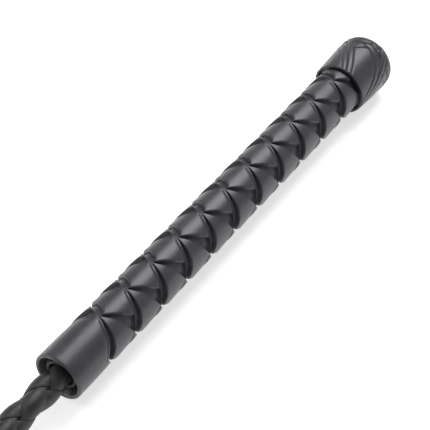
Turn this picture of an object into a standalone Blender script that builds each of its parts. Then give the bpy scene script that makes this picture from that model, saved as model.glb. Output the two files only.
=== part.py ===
"""Riding crop: moulded handle, plaited leather shaft on a glass-fibre rod, and a leather tongue.

The crop lies along X with its knob towards +X. Z = 0 is the surface it rests on.
All sizes are metres, and `turned` and the other builders work about the crop's own axis.
"""

import math

import bmesh
import bpy

# ---------------------------------------------------------------- driving dimensions

GAP = 0.0003                  # air left between pieces that touch

GRIP_RADIUS = 0.0106          # top of the diamond relief
ROW_PITCH = 0.0161            # one row of diamonds along the handle
ROWS = 10
RELIEF_DEPTH = 0.0013         # depth of the creases between diamonds
COLLAR_LENGTH = 1.55 * ROW_PITCH
COLLAR_RADIUS = 0.98 * GRIP_RADIUS
COLLAR_ROUND = 0.0008
TAIL_LENGTH = 0.0068          # sleeve left after the last row's node
MOUTH_RADIUS = 0.66 * GRIP_RADIUS
MOUTH_DEPTH = 0.0140
SLEEVE_BORE = 0.0080

KNOB_RIM_RADIUS = 1.14 * GRIP_RADIUS
KNOB_RADIUS = 1.215 * GRIP_RADIUS
KNOB_BELLY = 0.0195           # rim to the widest place
KNOB_FULLNESS = 3.2           # 2 is a round dome, and more is squarer
KNOB_LENGTH = 0.0269
KNOB_RELIEF = 0.0006
KNOB_GAP = 0.0006             # dark line between the sleeve and the knob's rim
KNOB_RECESS = 0.0012          # how far the rim overhangs the end plug's flange
KNOB_SOCKET = 0.0150          # depth of the socket for the end plug

LINER_OUTER = 0.0076
LINER_INNER = 0.0066
PLUG_RADIUS = LINER_INNER - GAP
PLUG_DEPTH = 0.0140
FLANGE_RADIUS = 0.0082
BUSH_LENGTH = 0.0140

ROD_ROOT_RADIUS = 0.0017
ROD_TIP_RADIUS = 0.0009

PLAIT_LEAD = 0.0325           # length of one full turn of a strand
PLAIT_SWING = 0.00075         # how far a strand moves in and out as it weaves
STRAND_HALF_WIDTH = 0.38      # as a share of the space between neighbouring strands
SHAFT_RADIUS = 0.0055         # outside of the plait at the handle
SHAFT_TIP_RADIUS = 0.0046     # outside of the plait at the tongue
SHAFT_LENGTH = 0.3508         # mouth to the end of the plait
PLAIT_INSIDE = 0.0251         # plait held inside the handle
PLAIT_TURN = math.radians(33.5)   # angle of the plait's crossings about the shaft
STEPS_PER_CROSSING = 3        # a strand crosses four others in one lead

WHIPPING_LENGTH = 0.0130
WHIPPING_THICKNESS = 0.0006
BINDING_LENGTH = 0.0140
BINDING_BORE = 0.00525
ROD_TIP_REACH = 0.0200        # rod past the end of the plait
CAP_LENGTH = 0.0040
CAP_THICKNESS = 0.0005

TONGUE_ROOT_START = 0.0040    # from the end of the plait
TONGUE_ROOT_LENGTH = 0.0300   # end of the plait to the line where the tongue bends
TONGUE_LENGTH = 0.0780
ROOT_HALF_WIDTH = 0.0036
BEND_HALF_WIDTH = 0.0085
TONGUE_HALF_WIDTH = 0.0150
LEAF_THICKNESS = 0.0014
FILLER_THICKNESS = 0.0010
FILLER_INSET = 0.0030
BEND_GAP = 0.0018             # from the bend line to the moving blades

# ---------------------------------------------------------------- places along the crop

TOTAL = (KNOB_LENGTH + KNOB_GAP + TAIL_LENGTH + ROWS * ROW_PITCH + COLLAR_LENGTH
         + SHAFT_LENGTH + TONGUE_ROOT_LENGTH + BEND_GAP + TONGUE_LENGTH)
X_KNOB_END = TOTAL / 2
X_KNOB_RIM = X_KNOB_END - KNOB_LENGTH
X_SLEEVE_END = X_KNOB_RIM - KNOB_GAP
X_FIRST_NODE = X_SLEEVE_END - TAIL_LENGTH - ROWS * ROW_PITCH
X_MOUTH = X_FIRST_NODE - COLLAR_LENGTH
X_LINER_START = X_MOUTH + MOUTH_DEPTH + 0.0015
X_LINER_END = X_SLEEVE_END - 0.0010
X_PLUG_START = X_LINER_END - PLUG_DEPTH
X_PLAIT_ROOT = X_MOUTH + PLAIT_INSIDE
X_PLAIT_END = X_MOUTH - SHAFT_LENGTH
X_ROD_TIP = X_PLAIT_END - ROD_TIP_REACH
X_BEND = X_PLAIT_END - TONGUE_ROOT_LENGTH
X_BLADE = X_BEND - BEND_GAP
AXIS_HEIGHT = KNOB_RADIUS - 0.00008   # the knob rests on its moulded bands

# ---------------------------------------------------------------- helpers


def clear_scene():
    """Remove every object that the scene starts with."""
    for item in list(bpy.data.objects):
        bpy.data.objects.remove(item, do_unlink=True)


def make_material(name, colour, roughness, metallic=0.0):
    """Return a Principled material."""
    material = bpy.data.materials.new(name)
    material.use_nodes = True
    shader = material.node_tree.nodes["Principled BSDF"]
    shader.inputs["Base Color"].default_value = (*colour, 1.0)
    shader.inputs["Roughness"].default_value = roughness
    shader.inputs["Metallic"].default_value = metallic
    material.diffuse_color = (*colour, 1.0)
    return material


def add_object(name, points, faces, material, origin_x=0.0):
    """Make one object from points about the crop's axis, with its own origin on that axis."""
    mesh = bpy.data.meshes.new(name)
    mesh.from_pydata([(x - origin_x, y, z) for x, y, z in points], [], faces)
    shape = bmesh.new()
    shape.from_mesh(mesh)
    bmesh.ops.recalc_face_normals(shape, faces=shape.faces)
    shape.to_mesh(mesh)
    shape.free()
    mesh.materials.append(material)
    mesh.shade_smooth()
    mesh.set_sharp_from_angle(angle=math.radians(40))
    item = bpy.data.objects.new(name, mesh)
    item.location = (origin_x, 0.0, AXIS_HEIGHT)
    bpy.context.collection.objects.link(item)
    return item


def around(x, radius, angle):
    """Point at a radius and an angle about the crop's axis."""
    return (x, radius * math.cos(angle), radius * math.sin(angle))


def ring_faces(rings, size, wrap=False):
    """Quads between neighbouring rings of one size; `wrap` also joins the last to the first."""
    faces = []
    for row in range(rings if wrap else rings - 1):
        a, b = row * size, (row + 1) % rings * size
        faces += [(a + k, a + (k + 1) % size, b + (k + 1) % size, b + k) for k in range(size)]
    return faces


def turned(name, profile, material, sides=24, tube=True, groove=None):
    """Turn (x, radius) pairs about the axis: a closed loop for a tube, or a capped solid."""
    points = []
    for x, radius in profile:
        for k in range(sides):
            angle = 2 * math.pi * k / sides
            depth = groove(x, radius, angle) if groove else 0.0
            points.append(around(x, radius - depth, angle))
    faces = ring_faces(len(profile), sides, wrap=tube)
    if not tube:
        last = (len(profile) - 1) * sides
        faces += [tuple(range(sides)), tuple(last + k for k in range(sides))]
    return add_object(name, points, faces, material)


def band(name, start, end, inner, outer, material, soften=0.0004):
    """Ring with softened outer edges, from start to end along X."""
    return turned(name, [(start, inner), (start, outer - soften), (start + soften, outer),
                         (end - soften, outer), (end, outer - soften), (end, inner)], material)


# ---------------------------------------------------------------- handle

CELL_STEPS = 6                # grid steps along one side of a diamond
RING_SIZE = 2 * CELL_STEPS
NODE_ANGLE = math.pi / 2      # the first node is on top


def grip_radius(x, angle):
    """Radius of the diamond relief.

    Two families of helices cross, and they are creases where u or v is whole. Each diamond is a
    pillow. The collar takes the place of the diamonds before the first node, so those keep only
    the creases on their far sides.
    """
    along = (x - X_FIRST_NODE) / (ROW_PITCH / 2)
    turn = (angle - NODE_ANGLE) / (math.pi / 2)
    u, v = (along + turn) / 2, (along - turn) / 2
    cell_u, cell_v = math.floor(u + 1e-6), math.floor(v + 1e-6)
    rise = 1.0
    for share in (u - cell_u, v - cell_v):
        if cell_u + cell_v < -1:
            share = max(share, 0.5)
        rise *= math.sin(math.pi * min(1.0, max(0.0, share)))
    return GRIP_RADIUS - RELIEF_DEPTH * (1.0 - math.sqrt(max(0.0, rise)))


def build_sleeve(rubber):
    """Grip sleeve: plain collar, diamond relief, and a bore with a wider mouth.

    Each ring of points is half a step on from the one before, so the creases follow its edges.
    """
    rings = []
    for degrees in (0, 45, 90):
        turn = math.radians(degrees)
        rings.append((X_MOUTH + COLLAR_ROUND * (1 - math.cos(turn)),
                      COLLAR_RADIUS - COLLAR_ROUND * (1 - math.sin(turn)), 0))
    step = ROW_PITCH / (2 * CELL_STEPS)
    last = int((X_SLEEVE_END - X_FIRST_NODE) / step)
    rings.append((X_FIRST_NODE - ROW_PITCH - step, COLLAR_RADIUS, 0))
    rings += [(X_FIRST_NODE + row * step, None, row % 2) for row in range(-RING_SIZE, last)]
    shift = last % 2
    rings += [(X_SLEEVE_END, GRIP_RADIUS - 0.0007, shift), (X_SLEEVE_END, SLEEVE_BORE, shift),
              (X_LINER_START - GAP, SLEEVE_BORE, shift), (X_LINER_START - GAP, MOUTH_RADIUS, shift),
              (X_MOUTH + 0.0008, MOUTH_RADIUS, 0), (X_MOUTH, MOUTH_RADIUS + 0.0008, 0)]
    points, faces = [], []
    for x, radius, shifted in rings:
        for k in range(RING_SIZE):
            angle = NODE_ANGLE + 2 * math.pi * (k + 0.5 * shifted) / RING_SIZE
            points.append(around(x, grip_radius(x, angle) if radius is None else radius, angle))
    for row, (_, _, shift_a) in enumerate(rings):
        nxt = (row + 1) % len(rings)
        a, b, shift_b = row * RING_SIZE, nxt * RING_SIZE, rings[nxt][2]
        for k in range(RING_SIZE):
            n = (k + 1) % RING_SIZE
            if shift_a == shift_b:
                faces.append((a + k, a + n, b + n, b + k))
            elif shift_b > shift_a:
                faces += [(a + k, a + n, b + k), (a + n, b + n, b + k)]
            else:
                faces += [(a + k, b + n, b + k), (a + k, a + n, b + n)]
    return add_object("grip_sleeve", points, faces, rubber)


def knob_groove(x, radius, angle):
    """Depth of the crossing bands moulded into the knob's belly."""
    if radius < KNOB_RIM_RADIUS:
        return 0.0
    along = math.pi * (x - X_KNOB_RIM) / KNOB_LENGTH
    wave = math.cos(2 * angle + along) * math.cos(2 * angle - along)
    return KNOB_RELIEF * max(0.0, wave)


def build_knob(rubber):
    """Knob cap: a bulb with an overhanging rim and a blind socket for the end plug."""
    profile = [(X_KNOB_RIM + KNOB_SOCKET, LINER_INNER), (X_KNOB_RIM + KNOB_RECESS, LINER_INNER),
               (X_KNOB_RIM + KNOB_RECESS, FLANGE_RADIUS + GAP), (X_KNOB_RIM, FLANGE_RADIUS + GAP),
               (X_KNOB_RIM, KNOB_RIM_RADIUS - 0.0006), (X_KNOB_RIM + 0.0006, KNOB_RIM_RADIUS)]
    steps = 6
    for k in range(1, steps + 1):
        share = k / steps
        ease = math.sin(0.5 * math.pi * share)
        profile.append((X_KNOB_RIM + 0.0006 + (KNOB_BELLY - 0.0006) * share,
                        KNOB_RIM_RADIUS + (KNOB_RADIUS - KNOB_RIM_RADIUS) * ease))
    for k in range(1, steps + 1):
        turn = 0.5 * math.pi * k / (steps + 0.5)
        power = 2.0 / KNOB_FULLNESS
        profile.append((X_KNOB_RIM + KNOB_BELLY
                        + (KNOB_LENGTH - KNOB_BELLY) * math.sin(turn) ** power,
                        KNOB_RADIUS * math.cos(turn) ** power))
    profile[-1] = (X_KNOB_END, profile[-1][1])
    return turned("knob_cap", profile, rubber, sides=32, tube=False, groove=knob_groove)


def rod_radius(x):
    """Radius of the tapered rod."""
    share = (X_PLUG_START - x) / (X_PLUG_START - X_ROD_TIP)
    return ROD_ROOT_RADIUS + (ROD_TIP_RADIUS - ROD_ROOT_RADIUS) * share


def build_handle_core(plastic, nylon):
    """Liner tube, the two bushes that centre the rod, and the end plug."""
    turned("handle_liner", [(X_LINER_START, LINER_INNER), (X_LINER_START, LINER_OUTER),
                            (X_LINER_END, LINER_OUTER), (X_LINER_END, LINER_INNER)], plastic)
    bore = ROD_ROOT_RADIUS + GAP
    places = {"front_bush": X_PLAIT_ROOT + 0.0040, "rear_bush": X_PLUG_START - BUSH_LENGTH - 0.0040}
    for name, start in places.items():
        band(name, start, start + BUSH_LENGTH, bore, PLUG_RADIUS, nylon)
    flange_start, flange_end = X_SLEEVE_END + GAP, X_KNOB_RIM + KNOB_RECESS - GAP
    stem_end = X_KNOB_RIM + KNOB_SOCKET - 2 * GAP
    turned("end_plug", [(X_PLUG_START, PLUG_RADIUS - 0.0008), (X_PLUG_START + 0.0010, PLUG_RADIUS),
                        (flange_start, PLUG_RADIUS), (flange_start, FLANGE_RADIUS),
                        (flange_end, FLANGE_RADIUS), (flange_end, PLUG_RADIUS),
                        (stem_end - 0.0010, PLUG_RADIUS), (stem_end, PLUG_RADIUS - 0.0008)],
           plastic, tube=False)


# ---------------------------------------------------------------- shaft


def shaft_radius(x):
    """Outside radius of the plait, which tapers evenly from the mouth to the tongue."""
    share = min(1.0, max(0.0, (X_MOUTH - x) / SHAFT_LENGTH))
    return SHAFT_RADIUS + (SHAFT_TIP_RADIUS - SHAFT_RADIUS) * share


STRAND_THICKNESS = 2 * PLAIT_SWING - GAP


def weave_radius(x):
    """Radius of the plait's middle surface."""
    return shaft_radius(x) - PLAIT_SWING - STRAND_THICKNESS / 2


def strand_faces(rows, size, right_hand):
    """Triangles of a strand, split along the crop's axis, where the split lies on the surface."""
    faces = []
    for row in range(rows):
        a, b = row * size, (row + 1) * size
        for k in range(size):
            n = (k + 1) % size
            rising = k < size // 2
            if rising == right_hand:
                faces += [(a + k, a + n, b + k), (a + n, b + n, b + k)]
            else:
                faces += [(a + k, a + n, b + n), (a + k, b + n, b + k)]
    last = rows * size
    return faces + [tuple(range(size)), tuple(last + k for k in range(size))]


def build_strand(number, leather):
    """One plait strand: a lens-shaped ribbon on a helix that goes over one and under one.

    Strands of one hand lie where u is whole and those of the other hand where v is whole. The
    distance along the plait grows with v - u and the angle with u + v, so a strand runs along
    the other hand's number and swings out and in once for every two strands that it crosses.
    """
    right_hand = number % 2 == 0
    own = number // 2
    length = X_PLAIT_ROOT - X_PLAIT_END
    rows = int(4 * length / PLAIT_LEAD * STEPS_PER_CROSSING)
    section = ((-STRAND_HALF_WIDTH, 0), (0.0, 1), (STRAND_HALF_WIDTH, 0), (0.0, -1))
    points = []
    for row in range(rows + 1):
        run = row / STEPS_PER_CROSSING
        for across, side in section:
            u = own + across if right_hand else own - run
            v = own + run if right_hand else own + across
            x = X_PLAIT_ROOT - PLAIT_LEAD * (v - u) / 4
            flip = -((-1) ** own) if right_hand else (-1) ** own
            swing = PLAIT_SWING * flip * math.cos(math.pi * (v if right_hand else u))
            radius = weave_radius(x) + swing + side * STRAND_THICKNESS / 2
            points.append(around(x, radius, PLAIT_TURN + math.pi * (u + v) / 2))
    faces = strand_faces(rows, len(section), right_hand)
    return add_object(f"plait_strand_{number + 1}", points, faces, leather)


def build_shaft(materials):
    """Rod, padding, plait strands, and the packing and whippings that hold the plait's ends."""
    rod_end = X_PLUG_START - GAP
    turned("core_rod", [(X_ROD_TIP, rod_radius(X_ROD_TIP)), (rod_end, rod_radius(rod_end))],
           materials["glass_fibre"], sides=16, tube=False)
    pad_start, pad_end = X_PLAIT_END + 0.0060, X_PLAIT_ROOT
    pad_radius = {x: weave_radius(x) - PLAIT_SWING - STRAND_THICKNESS / 2 - GAP
                  for x in (pad_start, pad_end)}
    turned("rod_wrapping", [(pad_start, rod_radius(pad_start) + GAP), (pad_start, pad_radius[pad_start]),
                            (X_MOUTH, pad_radius[pad_end]), (pad_end, pad_radius[pad_end]),
                            (pad_end, rod_radius(pad_end) + GAP)], materials["padding"], sides=16)
    for number in range(4):
        build_strand(number, materials["plait"])
    band("mouth_packing", X_MOUTH + 0.0030, X_MOUTH + MOUTH_DEPTH - 0.0010, SHAFT_RADIUS + GAP,
         MOUTH_RADIUS - 2 * GAP, materials["leather"])
    band("root_whipping", X_PLAIT_ROOT - WHIPPING_LENGTH + 0.0030, X_PLAIT_ROOT, SHAFT_RADIUS + GAP,
         PLUG_RADIUS - GAP / 2, materials["thread"], soften=0.0002)
    bore = SHAFT_TIP_RADIUS + GAP
    band("tip_whipping", X_PLAIT_END - 0.0030, X_PLAIT_END + WHIPPING_LENGTH, bore,
         bore + WHIPPING_THICKNESS, materials["thread"])


# ---------------------------------------------------------------- tongue


def strap(name, stations, thickness, material, origin_x=0.0):
    """Flat strap through stations of (x, middle height, half width)."""
    points = []
    for x, height, half in stations:
        low, high = height - thickness / 2, height + thickness / 2
        points += [(x, -half, low), (x, half, low), (x, half, high), (x, -half, high)]
    faces = ring_faces(len(stations), 4)
    last = (len(stations) - 1) * 4
    faces += [tuple(range(4)), tuple(last + k for k in range(4))]
    return add_object(name, points, faces, material, origin_x)


def blade_outline(inset):
    """(x, half width) along a blade: it widens from the bend and ends in a half circle."""
    reach = TONGUE_LENGTH - inset
    radius = TONGUE_HALF_WIDTH - inset
    straight = reach - radius
    outline = []
    for k in range(5):
        share = k / 4
        swell = math.sin(0.5 * math.pi * share)
        outline.append((X_BLADE - straight * share,
                        BEND_HALF_WIDTH + (TONGUE_HALF_WIDTH - BEND_HALF_WIDTH) * swell - inset))
    for k in range(1, 7):
        turn = math.radians(84 * k / 6)
        outline.append((X_BLADE - straight - radius * math.sin(turn), radius * math.cos(turn)))
    outline[-1] = (X_BLADE - reach, outline[-1][1])
    return outline


def build_tongue(materials):
    """Leather tongue: leaf roots bound round the rod's end, and the blades that bend."""
    bound = ROD_TIP_RADIUS + CAP_THICKNESS + 2 * GAP + LEAF_THICKNESS / 2
    shut = FILLER_THICKNESS / 2 + GAP + LEAF_THICKNESS / 2
    narrow_end = X_ROD_TIP - CAP_THICKNESS - 2 * GAP
    for name, side in (("upper", 1), ("lower", -1)):
        stations = [(X_PLAIT_END - TONGUE_ROOT_START, side * bound, ROOT_HALF_WIDTH),
                    (narrow_end, side * bound, ROOT_HALF_WIDTH),
                    (X_BEND + 0.0020, side * shut, BEND_HALF_WIDTH),
                    (X_BEND + GAP, side * shut, BEND_HALF_WIDTH)]
        strap(f"{name}_leaf_root", stations, LEAF_THICKNESS, materials["leather"])
        strap(f"{name}_leaf_blade", [(x, side * shut, half) for x, half in blade_outline(0.0)],
              LEAF_THICKNESS, materials["leather"], X_BEND)
    strap("leaf_filler", [(x, 0.0, half) for x, half in blade_outline(FILLER_INSET)],
          FILLER_THICKNESS, materials["leather"], X_BEND)
    tip = rod_radius(X_ROD_TIP)
    cap_outer = tip + GAP + CAP_THICKNESS
    turned("rod_tip_cap", [(X_ROD_TIP - GAP, tip + GAP - 0.0002), (X_ROD_TIP + CAP_LENGTH, tip + GAP),
                           (X_ROD_TIP + CAP_LENGTH, cap_outer), (X_ROD_TIP, cap_outer),
                           (X_ROD_TIP - CAP_THICKNESS - GAP, cap_outer - 0.0006)],
           materials["plastic"], sides=16, tube=False)
    start = X_PLAIT_END - TONGUE_ROOT_START - BINDING_LENGTH
    band("tongue_binding", start, start + BINDING_LENGTH, BINDING_BORE,
         BINDING_BORE + WHIPPING_THICKNESS, materials["thread"])


def main():
    """Build the whole crop."""
    clear_scene()
    rubber = make_material("moulded_rubber", (0.105, 0.105, 0.112), 0.50)
    materials = {
        "leather": make_material("black_leather", (0.022, 0.021, 0.020), 0.50),
        "plait": make_material("plaited_leather", (0.026, 0.025, 0.024), 0.45),
        "thread": make_material("waxed_thread", (0.020, 0.020, 0.020), 0.60),
        "padding": make_material("cotton_padding", (0.250, 0.230, 0.200), 0.90),
        "glass_fibre": make_material("glass_fibre", (0.550, 0.550, 0.480), 0.35),
        "plastic": make_material("hard_plastic", (0.020, 0.020, 0.022), 0.45),
        "nylon": make_material("nylon", (0.600, 0.590, 0.560), 0.50),
    }
    build_sleeve(rubber)
    build_knob(rubber)
    build_handle_core(materials["plastic"], materials["nylon"])
    build_shaft(materials)
    build_tongue(materials)


if __name__ == "__main__":
    main()
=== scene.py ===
"""Riding crop: the looks of the handle, the plaited shaft and the leather tongue.

Everything lies along X, with the knob towards +X, and Z = 0 is the floor. The places come from
the frame, and the pieces' own sizes are the fields of their classes, in metres.
"""

import logging
import math
from dataclasses import dataclass
from enum import Enum
from typing import Any, Callable, Sequence

import bmesh
import bpy
import numpy as np
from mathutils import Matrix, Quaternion, Vector


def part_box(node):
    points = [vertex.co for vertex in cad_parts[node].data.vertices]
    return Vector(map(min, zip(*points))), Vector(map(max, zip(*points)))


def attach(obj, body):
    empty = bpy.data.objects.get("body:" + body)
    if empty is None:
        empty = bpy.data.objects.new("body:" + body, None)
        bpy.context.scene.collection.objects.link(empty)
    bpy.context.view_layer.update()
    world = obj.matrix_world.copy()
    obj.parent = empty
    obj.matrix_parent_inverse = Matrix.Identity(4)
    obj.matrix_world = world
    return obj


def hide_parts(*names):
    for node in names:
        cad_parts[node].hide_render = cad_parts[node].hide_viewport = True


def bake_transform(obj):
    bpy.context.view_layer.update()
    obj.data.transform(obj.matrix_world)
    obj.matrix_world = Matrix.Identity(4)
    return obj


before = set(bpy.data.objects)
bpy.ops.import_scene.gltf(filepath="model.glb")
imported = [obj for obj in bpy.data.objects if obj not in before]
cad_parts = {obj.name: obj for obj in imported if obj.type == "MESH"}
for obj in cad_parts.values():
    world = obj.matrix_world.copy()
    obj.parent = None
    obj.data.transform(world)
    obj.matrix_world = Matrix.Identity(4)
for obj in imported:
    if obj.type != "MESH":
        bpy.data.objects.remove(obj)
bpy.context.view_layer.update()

LOG = logging.getLogger("riding_crop")
Array = np.ndarray
Triple = tuple[float, float, float]
Piece = bpy.types.Object
CROP, TONGUE = "crop", "tongue"
VIEW_AHEAD = 0.0743


# --- shader helpers


class Wire:
    """A value on its way to a socket. Sums and products of wires add Math nodes."""

    def __init__(self, desk: "Desk", socket: bpy.types.NodeSocket) -> None:
        """Keep the socket and the desk that it stands on."""
        self.desk = desk
        self.socket = socket

    def _math(self, operation: str, first: Any, second: Any = None) -> "Wire":
        """Add a Math node.

        Args:
            operation: The node's operation.
            first: Wire or number for the first socket.
            second: Wire or number for the second socket.

        Returns:
            The node's result.
        """
        inputs = {0: first} if second is None else {0: first, 1: second}
        return self.desk.add("ShaderNodeMath", {"operation": operation}, inputs)

    def __add__(self, other: Any) -> "Wire":
        """Sum."""
        return self._math("ADD", self, other)

    def __sub__(self, other: Any) -> "Wire":
        """Difference."""
        return self._math("SUBTRACT", self, other)

    def __rsub__(self, other: Any) -> "Wire":
        """Reflected difference."""
        return self._math("SUBTRACT", other, self)

    def __mul__(self, other: Any) -> "Wire":
        """Product."""
        return self._math("MULTIPLY", self, other)

    __radd__ = __add__
    __rmul__ = __mul__

    def clamp(self, low: float, high: float) -> "Wire":
        """Spread the stretch from low to high over 0 to 1, and cut off what is outside it."""
        settings = {"clamp": True}
        return self.desk.add("ShaderNodeMapRange", settings, {"Value": self, 1: low, 2: high})


class Desk:
    """The node tree of one material, and the one way to put nodes on it."""

    def __init__(self, name: str) -> None:
        """Start a material with an empty Principled shader."""
        self.material = bpy.data.materials.new(name)
        self.material.use_nodes = True
        self.tree = self.material.node_tree
        self.shader = self.tree.nodes["Principled BSDF"]

    def add(self, kind: str, settings: dict[str, Any], inputs: dict[Any, Any],
            output: Any = 0) -> Wire:
        """Add a node, set it up, and feed its sockets.

        Args:
            kind: The node's type.
            settings: Attributes, set before the sockets.
            inputs: Wires or plain values by socket name or number.
            output: Name or number of the socket to hand back.

        Returns:
            The chosen output.
        """
        node = self.tree.nodes.new(kind)
        for key, value in settings.items():
            setattr(node, key, value)
        for key, value in inputs.items():
            self.feed(node.inputs[key], value)
        return Wire(self, node.outputs[output])

    def feed(self, socket: bpy.types.NodeSocket, value: Any) -> None:
        """Link a wire to a socket, or set the socket's own value."""
        if isinstance(value, Wire):
            self.tree.links.new(value.socket, socket)
        elif isinstance(value, tuple) and len(value) == 3 and socket.type == "RGBA":
            socket.default_value = (*value, 1.0)
        else:
            socket.default_value = value

    def place(self, stretch: Triple = (1.0, 1.0, 1.0)) -> Wire:
        """Object coordinates, stretched along each axis."""
        where = self.add("ShaderNodeTexCoord", {}, {}, "Object")
        return self.add("ShaderNodeMapping", {}, {"Vector": where, "Scale": stretch})

    def own_map(self, stretch: Triple = (1.0, 1.0, 1.0)) -> Wire:
        """The piece's own UV map, in metres along and across it, stretched."""
        where = self.add("ShaderNodeUVMap", {"uv_map": "strip"}, {})
        return self.add("ShaderNodeMapping", {}, {"Vector": where, "Scale": stretch})

    def noise(self, where: Wire, scale: float, detail: float = 3.0, rough: float = 0.5) -> Wire:
        """Smooth noise from 0 to 1."""
        values = {"Vector": where, "Scale": scale, "Detail": detail, "Roughness": rough}
        return self.add("ShaderNodeTexNoise", {}, values, "Fac")

    def cells(self, where: Wire, scale: float, feature: str = "F1") -> Wire:
        """Distance to the nearest of scattered points, or to the edge between two."""
        return self.add("ShaderNodeTexVoronoi", {"feature": feature},
                        {"Vector": where, "Scale": scale}, "Distance")

    def shade(self, amount: Wire, low: Triple, high: Triple) -> Wire:
        """Colour between two colours."""
        return self.add("ShaderNodeMix", {"data_type": "RGBA"},
                        {"Factor": amount, 6: low, 7: high}, 2)

    def relief(self, height: Wire, depth: float, strength: float = 1.0,
               below: Wire | None = None) -> Wire:
        """Bump of a real depth in metres, on top of another bump if there is one."""
        inputs = {"Height": height, "Distance": depth, "Strength": strength}
        if below is not None:
            inputs["Normal"] = below
        return self.add("ShaderNodeBump", {}, inputs)

    def finish(self, **inputs: Any) -> bpy.types.Material:
        """Feed the shader by socket name, with _ for a space, and hand back the material."""
        for key, value in inputs.items():
            self.feed(self.shader.inputs[key.replace("_", " ")], value)
        return self.material


# --- finishes


@dataclass(frozen=True)
class MouldedRubber:
    """Dark grey moulded rubber with a fine satin skin and faint mottling."""

    name: str = "moulded_rubber"
    slot: str = "moulded_rubber"
    dark: Triple = (0.036, 0.035, 0.042)
    light: Triple = (0.052, 0.050, 0.059)
    rough: float = 0.36
    skin: float = 0.00002

    def make(self) -> bpy.types.Material:
        """Build the material."""
        desk = Desk(self.name)
        where = desk.place()
        blotch = desk.noise(where, 160.0, 4.0)
        grain = desk.noise(where, 5200.0, 2.0, 0.6)
        swirl = desk.noise(where, 900.0, 3.0)
        tone = (blotch * 0.7 + swirl * 0.3).clamp(0.3, 0.7)
        gloss = self.rough + 0.10 * blotch + 0.08 * grain - 0.09
        normal = desk.relief(grain, self.skin)
        normal = desk.relief(swirl, 2.0 * self.skin, 0.6, normal)
        return desk.finish(Base_Color=desk.shade(tone, self.dark, self.light), Roughness=gloss,
                           Normal=normal)


@dataclass(frozen=True)
class StrapLeather:
    """Waxed strap leather cut in strips: streaks along the strip, pores, and rubbed edges."""

    name: str = "plaited_leather"
    slot: str = "plaited_leather"
    dark: Triple = (0.006, 0.0058, 0.0058)
    light: Triple = (0.019, 0.0185, 0.018)
    rubbed: Triple = (0.036, 0.034, 0.033)
    width: float = 0.0070

    def make(self) -> bpy.types.Material:
        """Build the material. Across the strip, the map runs from -0.5 to 0.5 times its width."""
        desk = Desk(self.name)
        along = desk.own_map((120.0, 900.0, 1.0))
        where = desk.place()
        streak = desk.noise(along, 1.0, 4.0, 0.6)
        pore = desk.cells(where, 2600.0)
        crease = desk.noise(where, 700.0, 4.0, 0.65)
        parts = desk.add("ShaderNodeSeparateXYZ", {}, {"Vector": desk.own_map()}, "Y")
        edge = desk.add("ShaderNodeMath", {"operation": "ABSOLUTE"}, {0: parts})
        edge = edge.clamp(0.30 * self.width, 0.50 * self.width)
        base = desk.shade((streak * 0.6 + crease * 0.4).clamp(0.3, 0.7), self.dark, self.light)
        colour = desk.shade(edge * crease, base, self.rubbed)
        normal = desk.relief(crease, 0.00016)
        normal = desk.relief(pore.clamp(0.0, 0.5), 0.00005, 0.7, normal)
        normal = desk.relief(streak, 0.00006, 0.7, normal)
        return desk.finish(Base_Color=colour, Roughness=0.34 + 0.22 * crease + 0.08 * edge,
                           Normal=normal)


@dataclass(frozen=True)
class GrainedLeather:
    """Black bridle leather with a pebbled grain and a burnished sheen."""

    name: str = "black_leather"
    slot: str = "black_leather"
    dark: Triple = (0.008, 0.0078, 0.0075)
    light: Triple = (0.024, 0.023, 0.022)
    pebble: float = 1500.0

    def make(self) -> bpy.types.Material:
        """Build the material."""
        desk = Desk(self.name)
        where = desk.place()
        warp = desk.noise(where, 400.0, 3.0)
        pebbles = desk.cells(where, self.pebble, "DISTANCE_TO_EDGE").clamp(0.0, 0.18)
        pores = desk.cells(where, 3600.0).clamp(0.05, 0.35)
        wear = desk.noise(where, 60.0, 5.0, 0.6).clamp(0.35, 0.75)
        colour = desk.shade((pebbles * 0.5 + wear * 0.5), self.dark, self.light)
        normal = desk.relief(pebbles, 0.00009)
        normal = desk.relief(pores, 0.00003, 0.6, normal)
        normal = desk.relief(warp, 0.00020, 0.5, normal)
        return desk.finish(Base_Color=colour, Roughness=0.56 - 0.14 * pebbles + 0.12 * wear,
                           Normal=normal)


@dataclass(frozen=True)
class WaxedThread:
    """Waxed linen thread: plies twisted round each other, with wax shining on top."""

    name: str = "waxed_thread"
    slot: str = "waxed_thread"
    dark: Triple = (0.009, 0.009, 0.009)
    light: Triple = (0.040, 0.038, 0.036)
    plies: float = 2600.0

    def make(self) -> bpy.types.Material:
        """Build the material. The plies are slanted bands on the thread's own map."""
        desk = Desk(self.name)
        slant = desk.own_map((1.0, 1.6, 1.0))
        twist = desk.add("ShaderNodeTexWave", {"bands_direction": "DIAGONAL"},
                         {"Vector": slant, "Scale": self.plies / 6.0, "Distortion": 0.6}, "Fac")
        fluff = desk.noise(desk.place(), 6000.0, 3.0)
        colour = desk.shade(twist * 0.6 + fluff * 0.4, self.dark, self.light)
        normal = desk.relief(twist, 0.00006)
        normal = desk.relief(fluff, 0.00003, 0.6, normal)
        return desk.finish(Base_Color=colour, Roughness=0.62 - 0.18 * twist, Normal=normal)


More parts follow.
